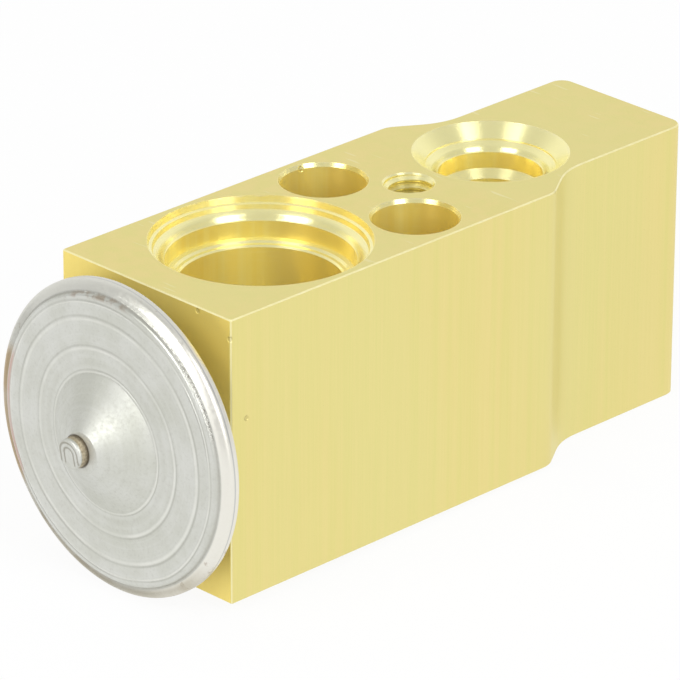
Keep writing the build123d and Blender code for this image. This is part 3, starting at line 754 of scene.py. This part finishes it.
def make_flange_screw_thread():
    """Metric thread of the hole that takes the pipe flange's screw."""
    pitch = 1.0 * MM
    crest_r = 2.46 * MM
    root_half = 0.42 * MM
    crest_half = 0.07 * MM
    start_z = top_z - 0.35 * MM
    turns = 8.5
    run_out = 0.35  # turns over which the thread rises at its ends

    def ring_at(turn):
        angle = math.tau * turn
        height = min(1.0, turn / run_out, (turns - turn) / run_out)
        height = max(height, 0.02)
        inner_r = flange_screw_r - (flange_screw_r - crest_r) * height
        outer_r = flange_screw_r + 0.02 * MM
        z = start_z - pitch * turn
        corners = (
            (outer_r, z + root_half),
            (inner_r, z + crest_half),
            (inner_r, z - crest_half),
            (outer_r, z - root_half),
        )
        cosine = math.cos(angle)
        sine = math.sin(angle)
        return [(r * cosine, flange_screw_y + r * sine, level) for r, level in corners]

    thread = helix_mesh("flange_screw_thread", turns, 480, ring_at)
    thread.data.materials.append(materials["gold_aluminium"])
    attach(thread, "block")


def make_spring():
    """Bias spring: a coil of round wire in place of the frame's spring, which it hides."""
    wire_r = 0.6 * MM
    mean_r = 4.0 * MM
    turns = 5.0
    length = spring_high[1] - spring_low[1]
    start_y = spring_low[1] + wire_r
    rise = (length - 2 * wire_r) / turns
    sides = 12

    def ring_at(turn):
        angle = math.tau * turn
        outward = Vector((math.cos(angle), 0, math.sin(angle)))
        along = Vector((0, 1, 0))
        centre = Vector((0, start_y + rise * turn, axis_z)) + outward * mean_r
        ring = []
        for side in range(sides):
            around = math.tau * side / sides
            ring.append(centre + (outward * math.cos(around) + along * math.sin(around)) * wire_r)
        return ring

    spring = helix_mesh("coil_spring", turns, 240, ring_at)
    for face in spring.data.polygons:
        face.use_smooth = True
    spring.data.materials.append(materials["spring_steel"])
    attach(spring, "block")
    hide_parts("bias_spring")
    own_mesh(spring)


# ---- Studio -----------------------------------------------------------------------------------
def path_share(tree, share):
    """share for camera and glossy rays, and 0 for all others."""
    path = tree.nodes.new("ShaderNodeLightPath")
    seen = add_node(tree, "ShaderNodeMath", "MAXIMUM")
    tree.links.new(path.outputs["Is Camera Ray"], seen.inputs[0])
    tree.links.new(path.outputs["Is Glossy Ray"], seen.inputs[1])
    scaled = add_node(tree, "ShaderNodeMath", "MULTIPLY")
    scaled.inputs[1].default_value = share
    tree.links.new(seen.outputs[0], scaled.inputs[0])
    return scaled.outputs[0]


def floor_white():
    """White floor that camera and glossy rays see as bright as the surroundings."""
    material = bpy.data.materials.new("floor_white")
    material.use_nodes = True
    tree = material.node_tree
    tree.nodes.clear()
    output = tree.nodes.new("ShaderNodeOutputMaterial")
    diffuse = tree.nodes.new("ShaderNodeBsdfDiffuse")
    diffuse.inputs["Color"].default_value = (0.9, 0.9, 0.9, 1)
    glow = tree.nodes.new("ShaderNodeEmission")
    glow.inputs["Strength"].default_value = 1.0
    mix = tree.nodes.new("ShaderNodeMixShader")
    tree.links.new(path_share(tree, surroundings_back), mix.inputs[0])
    tree.links.new(diffuse.outputs[0], mix.inputs[1])
    tree.links.new(glow.outputs[0], mix.inputs[2])
    # The floor is clear from below, so that the underside can be seen.
    geometry = tree.nodes.new("ShaderNodeNewGeometry")
    clear = tree.nodes.new("ShaderNodeBsdfTransparent")
    from_below = tree.nodes.new("ShaderNodeMixShader")
    tree.links.new(geometry.outputs["Backfacing"], from_below.inputs[0])
    tree.links.new(mix.outputs[0], from_below.inputs[1])
    tree.links.new(clear.outputs[0], from_below.inputs[2])
    tree.links.new(from_below.outputs[0], output.inputs[0])
    return material


def make_floor():
    """Floor that touches the head's rim and the block's far lower edge."""
    rim_low = Vector((0, (head_low[1] + head_end_y) / 2, head_low[2]))
    tail_low = Vector((0, tail_end_y, block_low[2]))
    slope = (tail_low.z - rim_low.z) / (tail_low.y - rim_low.y)
    reach = 3.0
    mesh = bpy.data.meshes.new("floor")
    corners = [(-reach, -reach), (reach, -reach), (reach, reach), (-reach, reach)]
    vertices = [(x, y, rim_low.z + slope * (y - rim_low.y)) for x, y in corners]
    mesh.from_pydata(vertices, [], [(0, 1, 2, 3)])
    floor = bpy.data.objects.new("floor", mesh)
    bpy.context.collection.objects.link(floor)
    mesh.materials.append(floor_white())


def area_light(name, azimuth, elevation, width, height, power):
    """Soft box a metre from the middle of the block, which it looks at."""
    data = bpy.data.lights.new(name, "AREA")
    data.shape = "RECTANGLE"
    data.size = width
    data.size_y = height
    data.energy = power
    light = bpy.data.objects.new(name, data)
    middle = Vector((0, (head_low[1] + tail_end_y) / 2, axis_z))
    level = math.cos(math.radians(elevation))
    aim = Vector(
        (
            math.sin(math.radians(azimuth)) * level,
            -math.cos(math.radians(azimuth)) * level,
            math.sin(math.radians(elevation)),
        )
    )
    light.location = middle + aim
    light.rotation_euler = aim.to_track_quat("Z", "Y").to_euler()
    bpy.context.collection.objects.link(light)


def make_lights():
    """Two tall soft boxes beside the camera, and pale surroundings that brighten towards the back."""
    area_light("left_box", azimuth=1, elevation=33, width=0.46, height=0.8, power=4.5)
    area_light("right_box", azimuth=86, elevation=35, width=0.42, height=0.75, power=4.2)
    world = bpy.context.scene.world or bpy.data.worlds.new("world")
    bpy.context.scene.world = world
    world.use_nodes = True
    tree = world.node_tree
    background = tree.nodes["Background"]
    background.inputs["Color"].default_value = (1, 1, 1, 1)
    coordinates = tree.nodes.new("ShaderNodeTexCoord")
    toward = add_node(tree, "ShaderNodeVectorMath", "DOT_PRODUCT")
    toward.inputs[1].default_value = (-math.sin(camera_azimuth), math.cos(camera_azimuth), 0)
    tree.links.new(coordinates.outputs["Generated"], toward.inputs[0])
    shade = tree.nodes.new("ShaderNodeMapRange")
    shade.interpolation_type = "SMOOTHSTEP"
    tree.links.new(toward.outputs["Value"], shade.inputs["Value"])
    shade.inputs["From Min"].default_value = 0.0
    shade.inputs["From Max"].default_value = 0.7
    shade.inputs["To Min"].default_value = surroundings_front
    shade.inputs["To Max"].default_value = surroundings_back
    path = tree.nodes.new("ShaderNodeLightPath")
    seen = add_node(tree, "ShaderNodeMath", "MAXIMUM")
    tree.links.new(path.outputs["Is Camera Ray"], seen.inputs[0])
    tree.links.new(shade.outputs[0], seen.inputs[1])
    tree.links.new(seen.outputs[0], background.inputs["Strength"])


make_camera()
dress_nodes()
make_flange_screw_thread()
make_spring()
make_floor()
make_lights()
bpy.context.scene.view_settings.view_transform = "Standard"
